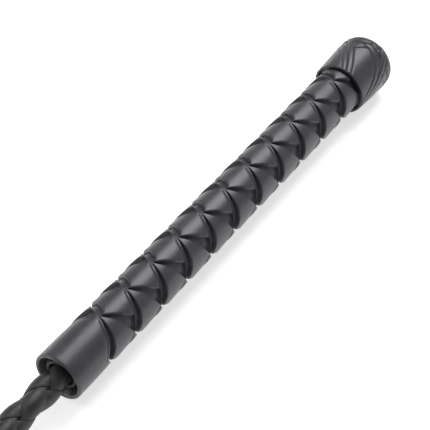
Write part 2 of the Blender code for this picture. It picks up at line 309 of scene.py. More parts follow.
@dataclass(frozen=True)
class PlainMoulding:
    """Injection-moulded plastic or bonded fibre: a fine skin, flow marks and a few scuffs."""

    name: str
    slot: str
    dark: Triple
    light: Triple
    rough: float
    grain: Triple = (1.0, 1.0, 1.0)

    def make(self) -> bpy.types.Material:
        """Build the material."""
        desk = Desk(self.name)
        flow = desk.noise(desk.place(self.grain), 240.0, 4.0, 0.6)
        skin = desk.noise(desk.place(), 4500.0, 2.0)
        scuff = desk.noise(desk.place((3.0, 1.0, 1.0)), 500.0, 5.0, 0.7).clamp(0.55, 0.75)
        normal = desk.relief(skin, 0.00002)
        normal = desk.relief(flow, 0.00008, 0.5, normal)
        return desk.finish(Base_Color=desk.shade(flow, self.dark, self.light),
                           Roughness=self.rough + 0.15 * scuff + 0.06 * skin, Normal=normal)


@dataclass(frozen=True)
class WoundTape:
    """Cotton tape wound on the rod: slanted turns and a plain weave."""

    name: str = "cotton_padding"
    slot: str = "cotton_padding"
    dark: Triple = (0.16, 0.145, 0.12)
    light: Triple = (0.34, 0.31, 0.27)

    def make(self) -> bpy.types.Material:
        """Build the material."""
        desk = Desk(self.name)
        where = desk.place()
        turns = desk.add("ShaderNodeTexWave", {"bands_direction": "X"},
                         {"Vector": where, "Scale": 40.0, "Distortion": 0.4}, "Fac")
        weave = desk.add("ShaderNodeTexWave", {"bands_direction": "DIAGONAL"},
                         {"Vector": where, "Scale": 600.0, "Distortion": 0.3}, "Fac")
        normal = desk.relief(weave, 0.00010)
        normal = desk.relief(turns, 0.00020, 0.8, normal)
        return desk.finish(Base_Color=desk.shade(weave * 0.7 + turns * 0.3, self.dark, self.light),
                           Roughness=0.92 - 0.10 * weave, Normal=normal)


@dataclass(frozen=True)
class PaleFloor:
    """Matt white table top that glows a little, which keeps its shadows pale."""

    name: str = "pale_floor"

    def make(self) -> bpy.types.Material:
        """Build the material."""
        desk = Desk(self.name)
        cloud = desk.noise(desk.place(), 6.0, 2.0)
        return desk.finish(Base_Color=desk.shade(cloud, (0.90, 0.90, 0.90), (0.92, 0.92, 0.92)),
                           Roughness=0.85 + 0.05 * cloud,
                           Emission_Color=(1.0, 1.0, 1.0, 1.0), Emission_Strength=0.55)


class Finish(Enum):
    """The finishes of the crop's pieces."""

    RUBBER = MouldedRubber()
    PLAIT = StrapLeather()
    LEATHER = GrainedLeather()
    THREAD = WaxedThread()
    TAPE = WoundTape()
    PLASTIC = PlainMoulding("hard_plastic", "hard_plastic", (0.010, 0.010, 0.011),
                            (0.022, 0.022, 0.024), 0.42)
    NYLON = PlainMoulding("nylon", "nylon", (0.52, 0.51, 0.47), (0.66, 0.65, 0.61), 0.48)
    FIBRE = PlainMoulding("glass_fibre", "glass_fibre", (0.45, 0.45, 0.38), (0.62, 0.62, 0.54),
                          0.32, (0.05, 6.0, 6.0))


class Rack:
    """Hands out one material for each finish, made when it is first asked for."""

    def __init__(self) -> None:
        """Start with an empty rack."""
        self._made: dict[Finish, bpy.types.Material] = {}

    def get(self, finish: Finish) -> bpy.types.Material:
        """The material of a finish."""
        if finish not in self._made:
            self._made[finish] = finish.value.make()
        return self._made[finish]

    def dress(self, piece: Piece, finish: Finish) -> None:
        """Give a new piece its material and log the piece."""
        piece.data.materials.clear()
        piece.data.materials.append(self.get(finish))
        LOG.info("%s: %d faces", piece.name, len(piece.data.polygons))

    def dress_node(self, node: str, finish: Finish) -> None:
        """Give a CAD node's object its material."""
        piece = bpy.data.objects[node]
        for slot in piece.material_slots:
            slot.material = self.get(finish)


# --- mesh helpers


def grid_quads(rows: int, columns: int, wrap_columns: bool = False) -> Array:
    """Quads of a grid whose points are numbered row by row.

    Args:
        rows: Number of rows of points.
        columns: Number of points in a row.
        wrap_columns: Whether the last column joins the first.

    Returns:
        One row of four point numbers for each quad.
    """
    i = np.arange(rows - 1)[:, None]
    j = np.arange(columns if wrap_columns else columns - 1)[None, :]
    a, b = i * columns, (i + 1) * columns
    n = (j + 1) % columns
    return np.stack([a + j, a + n, b + n, b + j], axis=-1).reshape(-1, 4)


def mesh_piece(name: str, points: Array, quads: Array, strip: Array | None = None,
               caps: Sequence[Array] = (), merge: float = 0.0, crease: float = 38.0) -> Piece:
    """Make an object from points and quads.

    Args:
        name: The piece's name.
        points: Points, one row each.
        quads: Point numbers, one row for each quad.
        strip: Map place of each point, in metres along and across, or None.
        caps: Rings of point numbers that are closed with a face.
        merge: Distance within which points are joined.
        crease: Angle in degrees above which an edge stays sharp.

    Returns:
        The new object, with its normals outwards.
    """
    mesh = bpy.data.meshes.new(name)
    faces = quads.tolist() + [list(map(int, ring)) for ring in caps]
    mesh.from_pydata(points.reshape(-1, 3).tolist(), [], faces)
    if strip is not None:
        layer = mesh.uv_layers.new(name="strip")
        corners = np.empty(len(mesh.loops), dtype=np.int32)
        mesh.loops.foreach_get("vertex_index", corners)
        layer.data.foreach_set("uv", strip.reshape(-1, 2)[corners].astype(np.float32).ravel())
    shape = bmesh.new()
    shape.from_mesh(mesh)
    if merge:
        bmesh.ops.remove_doubles(shape, verts=shape.verts, dist=merge)
        bmesh.ops.dissolve_degenerate(shape, dist=merge * 0.5, edges=shape.edges)
    bmesh.ops.recalc_face_normals(shape, faces=shape.faces)
    shape.to_mesh(mesh)
    shape.free()
    mesh.shade_smooth()
    mesh.set_sharp_from_angle(angle=math.radians(crease))
    piece = bpy.data.objects.new(name, mesh)
    bpy.context.collection.objects.link(piece)
    return piece


def full_turn(sides: int) -> Array:
    """Even angles once round, in radians."""
    return np.linspace(0.0, 2.0 * math.pi, sides, endpoint=False)


def smooth(share: Array) -> Array:
    """Ease from 0 to 1: three times the square less twice the cube."""
    share = np.clip(share, 0.0, 1.0)
    return share * share * (3.0 - 2.0 * share)


@dataclass
class Axis:
    """The crop's own axis: X at a height above the floor."""

    height: float

    def polar(self, x: Array, radius: Array, angle: Array) -> Array:
        """Points at a distance along, a radius and an angle from +Y towards +Z."""
        x, radius, angle = np.broadcast_arrays(x, radius, angle)
        return np.stack([x, radius * np.cos(angle), self.height + radius * np.sin(angle)], axis=-1)

    def winding(self, name: str, start: float, end: float, radius: Callable[[Array], Array],
                thread: float, sides: int = 8) -> Piece:
        """Thread wound close on the crop: a round section carried along a helix.

        The helix has a pitch of one thread. Its ends sink into the work, so that no cut end shows.

        Args:
            name: The piece's name.
            start: First x.
            end: Last x.
            radius: Radius of the work under the thread, from x.
            thread: Thread diameter.
            sides: Sides of the thread.

        Returns:
            The new object, with a map along and round the thread.
        """
        turns = (end - start) / (0.94 * thread)
        steps = int(turns * 40)
        run = np.linspace(0.0, 1.0, steps)[:, None]
        turn = 2.0 * math.pi * turns * run
        x = start + (end - start) * run
        around = full_turn(sides)[None, :]
        sink = 0.6 * thread * (1.0 - smooth(np.minimum(run, 1.0 - run) * turns / 0.4))
        middle = radius(x) + 0.5 * thread - sink
        points = self.polar(x + 0.5 * thread * np.sin(around),
                            middle + 0.5 * thread * np.cos(around), turn + 0.0 * around)
        length = turn * middle
        strip = np.stack(np.broadcast_arrays(length, around * 0.5 * thread), axis=-1)
        last = (steps - 1) * sides
        return mesh_piece(name, points, grid_quads(steps, sides, wrap_columns=True), strip=strip,
                          caps=[np.arange(sides), last + np.arange(sides)], crease=60.0)


# --- handle


class Edge(Enum):
    """The two edges of a diamond that face the shaft, and how the hollow beside each one runs.

    Each value is a width, as a share of the diamond, and the power that the distance along the
    edge is raised to.
    """

    LEFT = (0.190, 0.64)
    RIGHT = (0.370, 0.95)


@dataclass
class Diamonds:
    """Moulded relief of the grip: diamonds that overlap like scales between crossing helices.

    A diamond runs over 0 to 1 in u and in v. u = 0 and v = 0 are the edges that face the shaft,
    where it stands proud over a hollow, and it falls to a fine ridge at u = 1 and v = 1.
    """

    top: float = 0.01060
    ridge: float = 0.01012
    floor: float = 0.00140
    power: float = 2.4
    least_width: float = 0.012
    groove: tuple[float, ...] = (0.0, 0.05, 0.14, 0.50, 0.90)
    slope: tuple[float, ...] = (0.0, 0.70, 0.94, 1.0, 0.96)
    shoulder: tuple[float, ...] = (0.0, 0.010, 0.028, 0.055)
    rounding: tuple[float, ...] = (0.00020, 0.00007, 0.00001, 0.0)
    middle_steps: int = 14
    far: tuple[float, ...] = (0.915, 0.940, 0.964, 1.0)
    crease: tuple[float, ...] = (0.0, 0.00022, -0.00004, 0.0)

    def width(self, edge: Edge, share: Array) -> Array:
        """Width of the hollow beside an edge.

        The left one opens and closes like half a sine wave. The right one opens almost evenly
        and closes just before the corner.

        Args:
            edge: Which edge.
            share: Distance from the corner that points at the shaft, 0 to 1.

        Returns:
            The width as a share of the diamond.
        """
        most, power = edge.value
        share = np.clip(share, 0.0, 1.0)
        if edge is Edge.LEFT:
            return most * np.sin(math.pi * share ** power)
        return most * share ** power * (1.0 - smooth((share - 0.955) / 0.045))

    def stations(self) -> tuple[Array, Array]:
        """Place of each grid line, as a fixed part and a multiple of the hollow's width."""
        middle = np.linspace(0.0, 1.0, self.middle_steps + 2)[1:-1]
        near = self.shoulder[-1]
        fixed = np.concatenate([np.zeros(len(self.groove)), self.shoulder,
                                near + (self.far[0] - near) * middle, self.far])
        moving = np.concatenate([self.groove, np.ones(len(self.shoulder)), 1.0 - middle,
                                 np.zeros(len(self.far))])
        return fixed, moving

    def patch(self) -> tuple[Array, Array, Array]:
        """Grid of one diamond.

        Returns:
            u, v and the radius of every grid point. On all four sides the points of neighbouring
            diamonds agree.
        """
        fixed, moving = self.stations()
        count = len(fixed)
        plain = fixed + moving * self.least_width
        u, v = np.meshgrid(plain, plain, indexing="ij")
        for _ in range(3):
            left, right = self.width(Edge.LEFT, v), self.width(Edge.RIGHT, u)
            u = fixed[:, None] + moving[:, None] * (self.least_width + left)
            v = fixed[None, :] + moving[None, :] * (self.least_width + right)
        left, right = self.width(Edge.LEFT, v), self.width(Edge.RIGHT, u)
        fall = 1.0 - (1.0 - u ** self.power) * (1.0 - v ** self.power)
        panel = self.top - (self.top - self.ridge) * fall
        panel -= 0.00022 * np.exp(-((u + v) / 0.10) ** 2) * (1.0 - fall)
        groove_u = self.ridge - self.floor * np.minimum(1.0, left / 0.07)[: len(self.slope)] * \
            np.array(self.slope)[:, None]
        groove_v = self.ridge - self.floor * np.minimum(1.0, right / 0.07)[:, : len(self.slope)] * \
            np.array(self.slope)[None, :]
        first = len(self.groove)
        for k, drop in enumerate(self.rounding):
            panel[first + k] -= drop * np.minimum(1.0, left[first + k] / 0.04)
            panel[:, first + k] -= drop * np.minimum(1.0, right[:, first + k] / 0.04)
        for k, drop in enumerate(self.crease):
            panel[count - len(self.crease) + k] -= drop * (1.0 - v[-1] ** 12)
        radius = panel
        radius[: len(self.slope)] = groove_u
        radius[:, : len(self.slope)] = np.where(np.arange(count)[:, None] < len(self.slope),
                                                np.maximum(radius[:, : len(self.slope)], groove_v),
                                                groove_v)
        radius[0], radius[-1] = self.ridge, self.ridge
        radius[:, 0], radius[:, -1] = self.ridge, self.ridge
        return u, v, radius

    def side(self) -> Array:
        """Places of the grid points along any side of a diamond, from 0 to 1."""
        fixed, moving = self.stations()
        return fixed + moving * self.least_width


@dataclass(frozen=True)
class Arc:
    """Middle line of a moulded strand: its distance from the rim is a parabola of the angle."""

    middle: float
    reach: float
    climb: float
    bend: float
    first: float
    last: float
    half_width: float

    def stations(self, count: int = 9) -> tuple[Array, Array]:
        """Even stations along the arc.

        The distance from the rim is the reach at the middle angle, plus the climb for each degree
        from it, plus the bend for each degree squared.

        Args:
            count: How many stations.

        Returns:
            The distance from the rim and the angle in degrees of each station.
        """
        angle = np.linspace(self.first, self.last, count)
        off = angle - self.middle
        return self.reach + self.climb * off + self.bend * off ** 2, angle


class Strand(Enum):
    """Strands moulded on the knob, from the lowest laid to the highest."""

    INNER_TOP = Arc(90.0, 0.0176, 0.00015, -2.8e-6, 66.0, 106.0, 0.0014)
    SIDE = Arc(106.0, 0.0192, -0.00007, -1.85e-6, 96.0, 196.0, 0.0013)
    OUTER_TOP = Arc(66.0, 0.0200, 0.00001, 1.2e-6, 36.0, 98.0, 0.0013)
    UPRIGHT = Arc(80.0, 0.0122, -0.00035, -1.5e-6, -12.0, 114.0, 0.0012)


@dataclass
class Handle:
    """Moulded handle: the grip sleeve with its collar and mouth, and the knob cap."""

    axis: Axis
    row_pitch: float = 0.0161
    rows: int = 10
    tail: float = 0.0068
    collar_radius: float = 0.0104
    collar_round: float = 0.0007
    mouth_radius: float = 0.0070
    mouth_depth: float = 0.0140
    mouth_round: float = 0.0007
    lip_radius: float = 0.0089
    flare: float = 0.0042
    bore: float = 0.0080
    node_angle: float = math.pi / 2
    knob_rim: float = 0.0121
    knob_radius: float = 0.0129
    knob_belly: float = 0.0195
    knob_fullness: float = 3.2
    knob_rise: float = 0.00012
    knob_groove: float = 0.00050
    groove_fade: float = 0.22
    bar_flatness: int = 5
    knob_edge: float = 0.0003
    lip_inside: float = 0.0113
    recess_depth: float = 0.0022
    socket: float = 0.0090
    socket_radius: float = 0.0067
    crown_calm: float = 0.006

    def __post_init__(self) -> None:
        """Take the places from the frame."""
        low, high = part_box("grip_sleeve")
        self.mouth_x, self.end_x = low[0], high[0]
        self.first_node = self.end_x - self.tail - self.rows * self.row_pitch
        low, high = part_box("knob_cap")
        self.rim_x, self.knob_end = low[0], high[0]
        self.relief = Diamonds()

    def lattice(self, u: Array, v: Array) -> tuple[Array, Array]:
        """x and angle of a lattice place: x grows with u + v and the angle with u - v."""
        x = self.first_node + 0.5 * self.row_pitch * (u + v)
        return x, self.node_angle + 0.5 * math.pi * (u - v)

    def build_relief(self) -> tuple[Array, Array]:
        """Points and quads of every diamond, before the far end is trimmed.

        A diamond's corner that points at the shaft lies where u + v = n and u - v = m, and n and
        m are both odd or both even.
        """
        u, v, radius = self.relief.patch()
        count = len(u)
        points = []
        for n in range(-1, 2 * self.rows + 1):
            for m in (n % 2, n % 2 + 2):
                x, angle = self.lattice(u + (n + m) // 2, v + (n - m) // 2)
                points.append(self.axis.polar(x, radius, angle).reshape(-1, 3))
        step = np.arange(len(points))[:, None, None] * count * count
        return np.concatenate(points), (grid_quads(count, count)[None] + step).reshape(-1, 4)

    def zigzag(self) -> tuple[Array, Array]:
        """Along and turn, in half rows and quarter turns, of the line where the collar ends."""
        side = self.relief.side()
        back, on = side[::-1][:-1], side[:-1]
        turn = np.concatenate([1.0 - back, 1.0 + on])
        along = np.concatenate([back, on]) - 1.0
        return np.tile(along, 2), np.concatenate([turn, turn + 2.0])

    def build_collar(self) -> tuple[Array, Array]:
        """Points and quads of the collar, the mouth and the bore, on the zigzag's own angles.

        The collar swells from the ridge of the first diamonds as those do from their own far
        edges: its fall is 1 less the product of 1 less each share's power. The mouth narrows from
        a rounded lip to its own radius.
        """
        relief, half = self.relief, 0.5 * self.row_pitch
        along, turn = self.zigzag()
        off = np.abs(turn - 2.0 * np.round(turn / 2.0))
        x_top = self.first_node + half * along
        x_low = self.mouth_x + self.collar_round
        steps = 1.0 - np.array(relief.far)[::-1]
        near = x_top[None, :] - self.row_pitch * steps[:, None]
        share = np.linspace(0.0, 1.0, 22)[1:, None]
        x = np.concatenate([near, near[-1:] + (x_low - near[-1:]) * share])
        half_rows = (x - self.first_node) / half
        fu = np.clip((half_rows + off) / 2.0 + 1.0, 0.0, 1.0)
        fv = np.clip((half_rows - off) / 2.0 + 1.0, 0.0, 1.0)
        fall = 1.0 - (1.0 - fu ** relief.power) * (1.0 - fv ** relief.power)
        radius = self.collar_radius - (self.collar_radius - relief.ridge) * fall
        radius[: len(steps)] -= np.array(relief.crease)[::-1, None] * (1.0 - fv[0] ** 12)
        bend = np.radians(np.linspace(90.0, 0.0, 8))[1:]
        rim = np.stack([x_low - self.collar_round * np.cos(bend),
                        self.collar_radius - self.collar_round * (1.0 - np.sin(bend))], axis=-1)
        lip = np.stack([self.mouth_x + self.mouth_round * (1.0 - np.cos(bend[::-1])),
                        self.lip_radius + self.mouth_round * (1.0 - np.sin(bend[::-1]))], axis=-1)
        deep = self.mouth_x + self.mouth_depth
        inner = np.array([[self.mouth_x + self.flare, self.mouth_radius], [deep, self.mouth_radius],
                          [deep, self.bore], [self.end_x, self.bore]])
        rest = np.concatenate([rim, lip, inner])
        x = np.concatenate([x, np.repeat(rest[:, :1], len(turn), axis=1)])
        radius = np.concatenate([radius, np.repeat(rest[:, 1:], len(turn), axis=1)])
        angle = self.node_angle + 0.5 * math.pi * turn[None, :]
        points = self.axis.polar(x, radius, angle)
        return points.reshape(-1, 3), grid_quads(len(x), len(turn), wrap_columns=True)

    def build_sleeve(self) -> Piece:
        """Grip sleeve: collar and diamonds in one skin, trimmed and closed at the knob's end."""
        relief_points, relief_quads = self.build_relief()
        collar_points, collar_quads = self.build_collar()
        points = np.concatenate([relief_points, collar_points])
        quads = np.concatenate([relief_quads, collar_quads + len(relief_points)])
        piece = mesh_piece("sleeve", points, quads, merge=1e-6)
        shape = bmesh.new()
        shape.from_mesh(piece.data)
        parts = shape.verts[:] + shape.edges[:] + shape.faces[:]
        bmesh.ops.bisect_plane(shape, geom=parts, dist=1e-7, plane_co=(self.end_x, 0.0, 0.0),
                               plane_no=(1.0, 0.0, 0.0), clear_outer=True)
        bmesh.ops.remove_doubles(shape, verts=shape.verts, dist=1e-6)
        rims = [edge for edge in shape.edges if edge.is_boundary]
        bmesh.ops.triangle_fill(shape, edges=rims, use_beauty=True, normal=(1.0, 0.0, 0.0))
        bmesh.ops.recalc_face_normals(shape, faces=shape.faces)
        shape.to_mesh(piece.data)
        shape.free()
        piece.data.shade_smooth()
        piece.data.set_sharp_from_angle(angle=math.radians(38.0))
        return piece

    def bulb(self) -> tuple[Array, Array, Array]:
        """Outline of the plain bulb.

        From the rim to the belly, the radius grows with the sine of the distance. The dome is a
        superellipse: sine and cosine, each to the power of 2 over its fullness.

        Returns:
            Place along the axis, radius, and distance along the outline.
        """
        belly = self.rim_x + self.knob_belly
        share = np.linspace(0.0, 0.5 * math.pi, 400)
        power = 2.0 / self.knob_fullness
        x = np.concatenate([self.rim_x + self.knob_belly * share / share[-1],
                            belly + (self.knob_end - belly) * np.sin(share[1:]) ** power])
        radius = np.concatenate([self.knob_rim + (self.knob_radius - self.knob_rim)
                                 * np.sin(share), self.knob_radius
                                 * np.clip(np.cos(share[1:]), 0.0, 1.0) ** power])
        reach = np.concatenate([[0.0], np.cumsum(np.hypot(np.diff(x), np.diff(radius)))])
        return x, radius, reach

    def strand_gap(self, strand: Strand, reach: Array, angle: Array, quarter: int) -> Array:
        """Distance from a moulded strand's middle line, in half widths of the strand.

        The middle line runs straight between the strand's stations. Distances are taken over the
        bulb's own surface, where a turn counts for less towards the pole.

        Args:
            strand: The strand.
            reach: Distance along the bulb from its rim, one row for each.
            angle: Angle about the axis in degrees.
            quarter: Which of the four copies about the axis.

        Returns:
            The distance, 1 at the strand's edge.
        """
        girth = math.radians(1.0) * np.interp(reach, self.bulb_reach, self.bulb_radius)
        nearest = np.full(np.broadcast_shapes(reach.shape, angle.shape), 9.0)
        reaches, angles = strand.value.stations()
        for r0, a0, r1, a1 in zip(reaches[:-1], angles[:-1], reaches[1:], angles[1:]):
            middle = 0.5 * (a0 + a1) + 90.0 * quarter
            across = ((angle - middle + 180.0) % 360.0 - 180.0) * girth
            along = reach - 0.5 * (r0 + r1)
            half_along, half_across = 0.5 * (r1 - r0), 0.5 * (a1 - a0) * girth
            square = half_along ** 2 + half_across ** 2
            share = np.clip((along * half_along + across * half_across) / square, -1.0, 1.0)
            gap = np.hypot(along - share * half_along, across - share * half_across)
            nearest = np.minimum(nearest, gap / strand.value.half_width)
        return nearest

    def knob_relief(self, reach: Array, angle: Array) -> Array:
        """Height of the knob's moulded plait over its plain bulb.

        The ground is smooth leaves. Each strand is laid over what is there before it: a rounded
        bar inside its edges, and outside them a groove that fades like a bell.

        Args:
            reach: Distance along the bulb from its rim.
            angle: Angle about the axis.

        Returns:
            The height, to be added to the radius.
        """
        degrees = np.degrees(angle)
        height = np.zeros(np.broadcast_shapes(reach.shape, angle.shape))
        for strand in Strand:
            gap = np.minimum.reduce([self.strand_gap(strand, reach, degrees, quarter)
                                     for quarter in range(4)])
            fade = np.exp(-((gap - 1.0) / self.groove_fade) ** 2)
            beside = np.minimum(height, 0.0) + height.clip(0.0) * (1.0 - fade)
            groove = beside * (1.0 - fade) + (self.knob_rise - self.knob_groove) * fade
            beside = np.minimum(beside, groove)
            bar = self.knob_rise - self.knob_groove * np.clip(gap, 0.0, 1.0) ** self.bar_flatness
            height = np.where(gap < 1.0, bar, beside)
        return height

    def build_knob(self) -> Piece:
        """Knob cap: a bulb from the overhanging rim to a dome, with the plait moulded on it."""
        self.bulb_x, self.bulb_radius, self.bulb_reach = self.bulb()
        length = self.bulb_reach[-1]
        reach = np.linspace(0.0, length, 210)
        x = np.interp(reach, self.bulb_reach, self.bulb_x)
        radius = np.interp(reach, self.bulb_reach, self.bulb_radius)
        sides = 260
        angle = full_turn(sides)[None, :]
        height = self.knob_relief(reach[:, None], angle)
        inward = (1.0 - reach / self.knob_edge).clip(0.0, 1.0)
        rim = self.knob_edge * (1.0 - np.sqrt(np.clip(1.0 - inward ** 2, 0.0, 1.0)))
        calm = np.clip(radius / self.crown_calm, 0.0, 1.0)[:, None]
        rows = (radius - rim)[:, None] + height * calm
        recess, bore = self.rim_x + self.recess_depth, self.socket_radius
        inner = np.array([[recess + self.socket, 0.0], [recess + self.socket, bore],
                          [recess, bore], [recess, self.lip_inside],
                          [self.rim_x, self.lip_inside]])
        x = np.concatenate([inner[:, 0], x])
        rows = np.concatenate([np.repeat(inner[:, 1:], sides, axis=1), rows])
        points = self.axis.polar(x[:, None], rows, angle)
        return mesh_piece("knob", points, grid_quads(len(x), sides, wrap_columns=True), merge=1e-6)

    def build(self, rack: Rack) -> None:
        """Build and dress the handle."""
        pieces = ((self.build_sleeve(), "grip_sleeve"), (self.build_knob(), "knob_cap"))
        for piece, node in pieces:
            rack.dress(piece, Finish.RUBBER)
            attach(piece, CROP)
            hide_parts(node)
        for node, finish in (("handle_liner", Finish.PLASTIC), ("end_plug", Finish.PLASTIC),
                             ("front_bush", Finish.NYLON), ("rear_bush", Finish.NYLON)):
            rack.dress_node(node, finish)


# --- shaft


@dataclass
class Plait:
    """Plaited leather shaft: four strands that go over one and under one, on a padded rod."""

    axis: Axis
    lead: float = 0.0325
    turn: float = math.radians(33.5)
    swing: float = 0.00075
    half_width: float = 0.43
    root_radius: float = 0.0055
    tip_radius: float = 0.0046
    cad_thickness: float = 0.0012
    mouth_x: float = 0.0
    steps: int = 15
    across_steps: int = 12
    packing_out: float = 0.0012
    packing_thread: float = 0.0016
    root_thread: float = 0.0005
    tip_thread: float = 0.0006
    over_tip: float = 0.0003

    def __post_init__(self) -> None:
        """Take the places from the frame."""
        self.mouth_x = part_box("grip_sleeve")[0][0]
        self.root_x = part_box("root_whipping")[1][0]
        self.end_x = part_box("tip_whipping")[0][0] + 0.0030

    def packing_radius(self, x: Array) -> Array:
        """Radius of the cord packed round the plait: uneven, by two sines of the place."""
        return 0.0056 + 0.0003 * np.sin(5200.0 * x) + 0.0002 * np.sin(11700.0 * x)

    def outside(self, x: Array) -> Array:
        """Radius outside the plait: an even taper from the mouth to the tongue."""
        share = np.clip((self.mouth_x - x) / (self.mouth_x - self.end_x), 0.0, 1.0)
        return self.root_radius + (self.tip_radius - self.root_radius) * share

    def build_strand(self, number: int) -> Piece:
        """One strand: a strap on a helix that swings out and in as it crosses the others.

        Strands of one hand lie where u is whole and those of the other where v is whole. The
        distance grows with v - u and the angle with u + v. The swing is a cosine of the number
        that changes along the strand, and the thickness is a cosine across it, so that two
        strands just touch where they cross.

        Args:
            number: 0 to 3; even numbers turn one way and odd ones the other.

        Returns:
            The strand, with a map along and across it.
        """
        right_hand, own = number % 2 == 0, number // 2
        crossings = 4.0 * (self.root_x - self.end_x) / self.lead
        run = np.linspace(0.0, crossings, int(crossings * self.steps))[:, None]
        turn = full_turn(2 * self.across_steps)[None, :]
        across = -self.half_width * np.cos(turn)
        face = np.sin(turn)
        u = own + across + 0.0 * run if right_hand else own - run + 0.0 * across
        v = own + run + 0.0 * across if right_hand else own + across + 0.0 * run
        x = self.root_x - self.lead * (v - u) / 4.0
        sign = (-1.0 if right_hand else 1.0) * (-1.0) ** own
        swing = self.swing * sign * np.cos(math.pi * (v if right_hand else u))
        middle = self.outside(x) - self.swing - 0.5 * self.cad_thickness
        thick = self.swing * np.cos(math.pi * across) - 0.00002
        radius = middle + swing + thick * np.sign(face) * np.abs(face) ** 0.55
        points = self.axis.polar(x, radius, self.turn + 0.5 * math.pi * (u + v))
        step = math.hypot(self.lead / 4.0, 0.5 * math.pi * self.root_radius)
        strip = np.stack(np.broadcast_arrays(run * step, across * step), axis=-1)
        count = 2 * self.across_steps
        last = (len(run) - 1) * count
        quads = grid_quads(len(run), count, wrap_columns=True)
        return mesh_piece(f"strand_{number + 1}", points, quads, strip=strip,
                          caps=[np.arange(count), last + np.arange(count)], crease=55.0)

    def build(self, rack: Rack) -> None:
        """Build and dress the strands, the mouth's packing, and the whippings."""
        made = []
        for number in range(4):
            made.append((self.build_strand(number), f"plait_strand_{number + 1}", Finish.PLAIT))
        low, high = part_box("mouth_packing")
        windings = (
            ("packing", "mouth_packing", Finish.LEATHER, self.packing_out, self.packing_radius,
             self.packing_thread),
            ("root_thread", "root_whipping", Finish.THREAD, 0.0, self.outside, self.root_thread),
            ("tip_thread", "tip_whipping", Finish.THREAD, 0.0,
             lambda x: self.outside(x) + self.over_tip, self.tip_thread))
        for name, node, finish, out, radius, thread in windings:
            low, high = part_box(node)
            piece = self.axis.winding(name, low[0] - out, high[0], radius, thread)
            made.append((piece, node, finish))
        for piece, node, finish in made:
            rack.dress(piece, finish)
            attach(piece, CROP)
            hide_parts(node)
        for node, finish in (("core_rod", Finish.FIBRE), ("rod_wrapping", Finish.TAPE),
                             ("rod_tip_cap", Finish.PLASTIC)):
            rack.dress_node(node, finish)


# --- tongue


